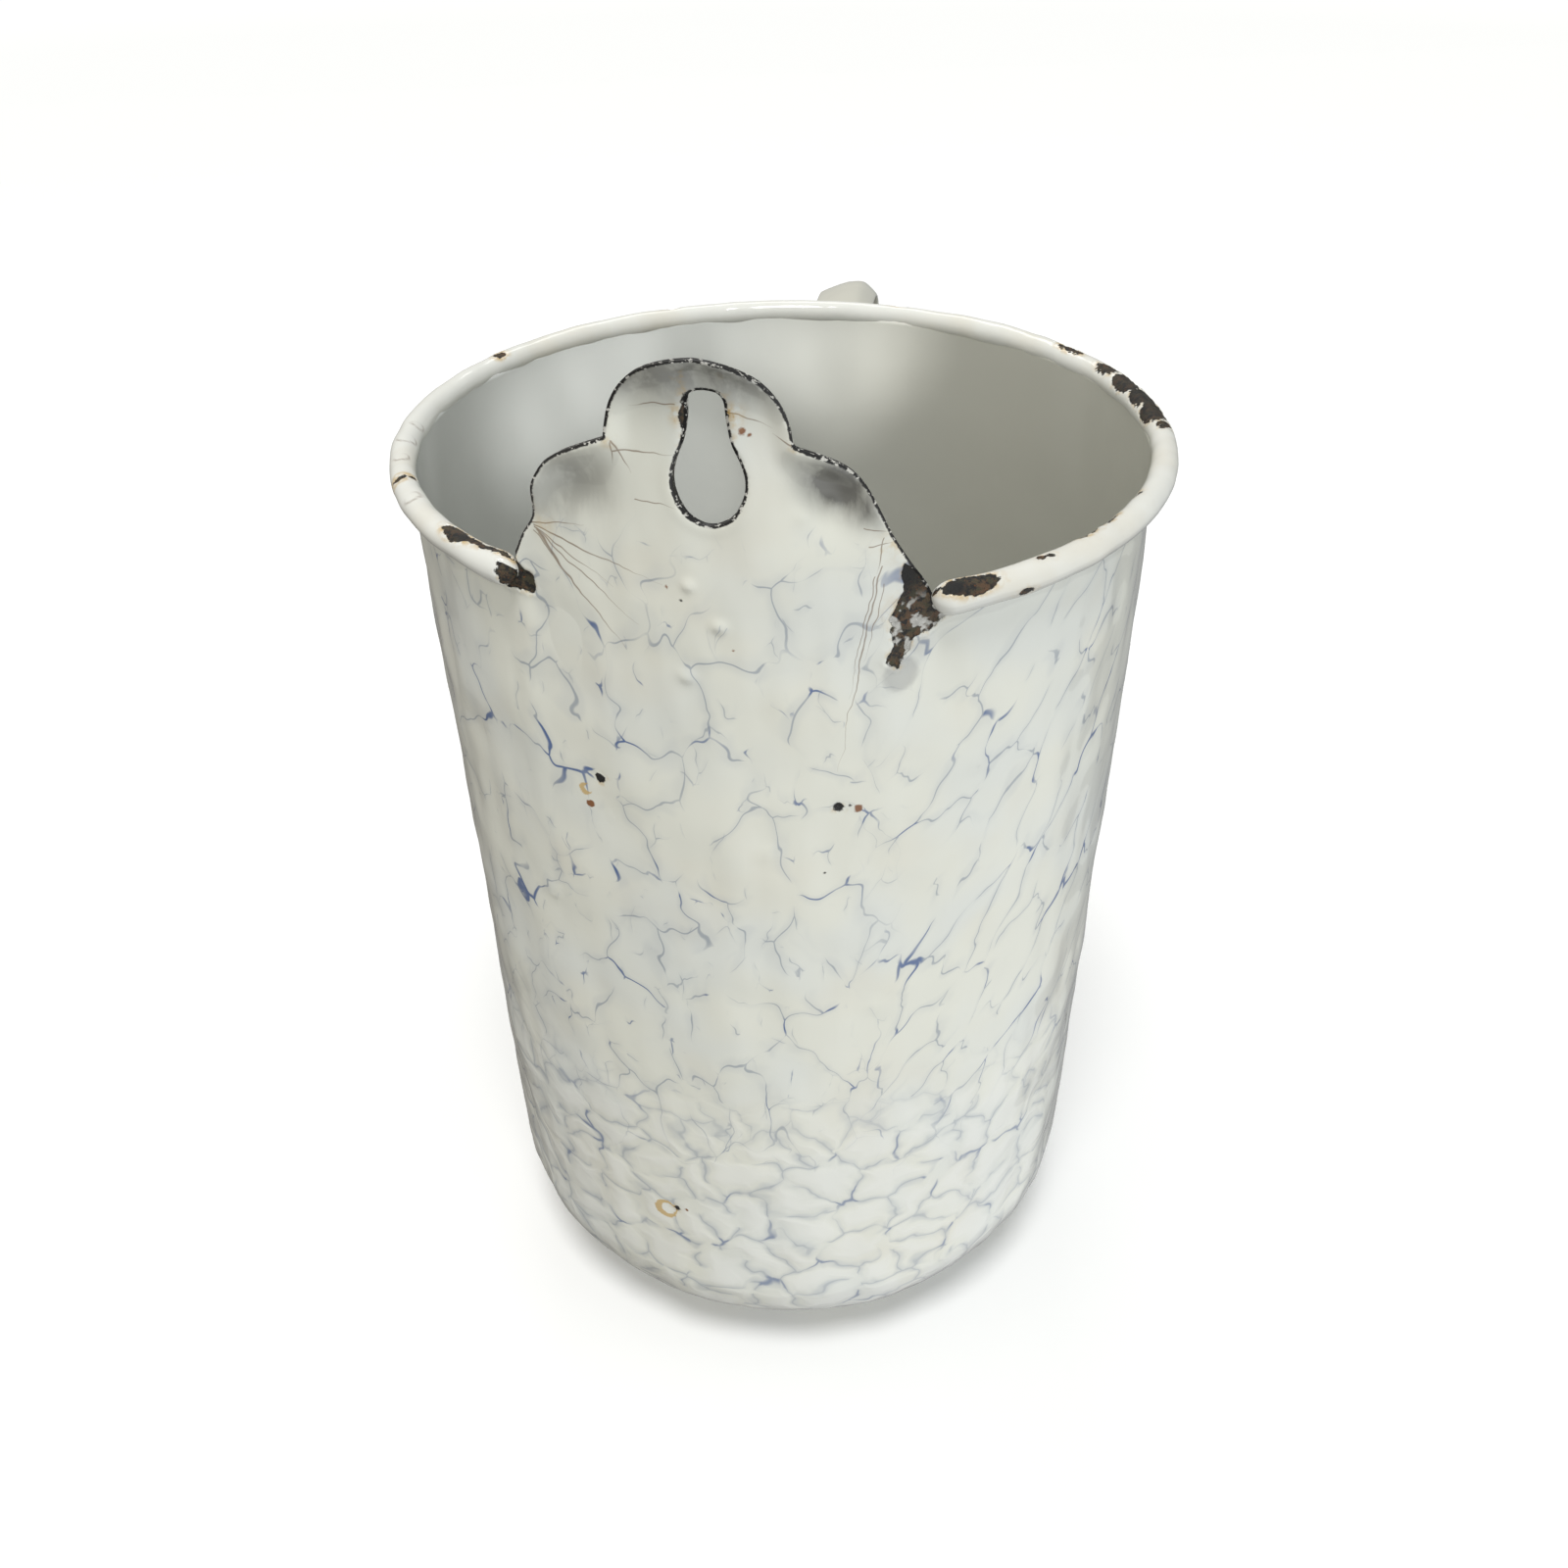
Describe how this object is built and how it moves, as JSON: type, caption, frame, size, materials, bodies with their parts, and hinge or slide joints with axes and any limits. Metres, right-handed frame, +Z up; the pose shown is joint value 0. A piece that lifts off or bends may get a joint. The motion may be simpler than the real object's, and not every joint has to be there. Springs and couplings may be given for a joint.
{
  "type": "enamelled irrigator can",
  "caption": "Wall-hanging enamelled steel can with rolled rim, keyhole hanging tab, strap handle and hose outlet at the foot.",
  "frame": {"origin": "centre of the flat foot, on the can's axis", "axes": "+Z up along the can's axis, the hanging tab faces -Y, the handle and the outlet face +Y"},
  "size_m": [0.128, 0.1559, 0.2052],
  "materials": {
    "enamel_body": "glossy vitreous enamel, off-white with blue veins, chipped to dark steel",
    "enamel_handle": "glossy vitreous enamel, off-white with blue veins",
    "enamel_outlet": "glossy vitreous enamel, off-white, worn at the hose bead"
  },
  "bodies": {
    "root": {"body_can": "enamel_body", "handle_strap": "enamel_handle", "outlet_spout": "enamel_outlet"}
  },
  "joints": []
}
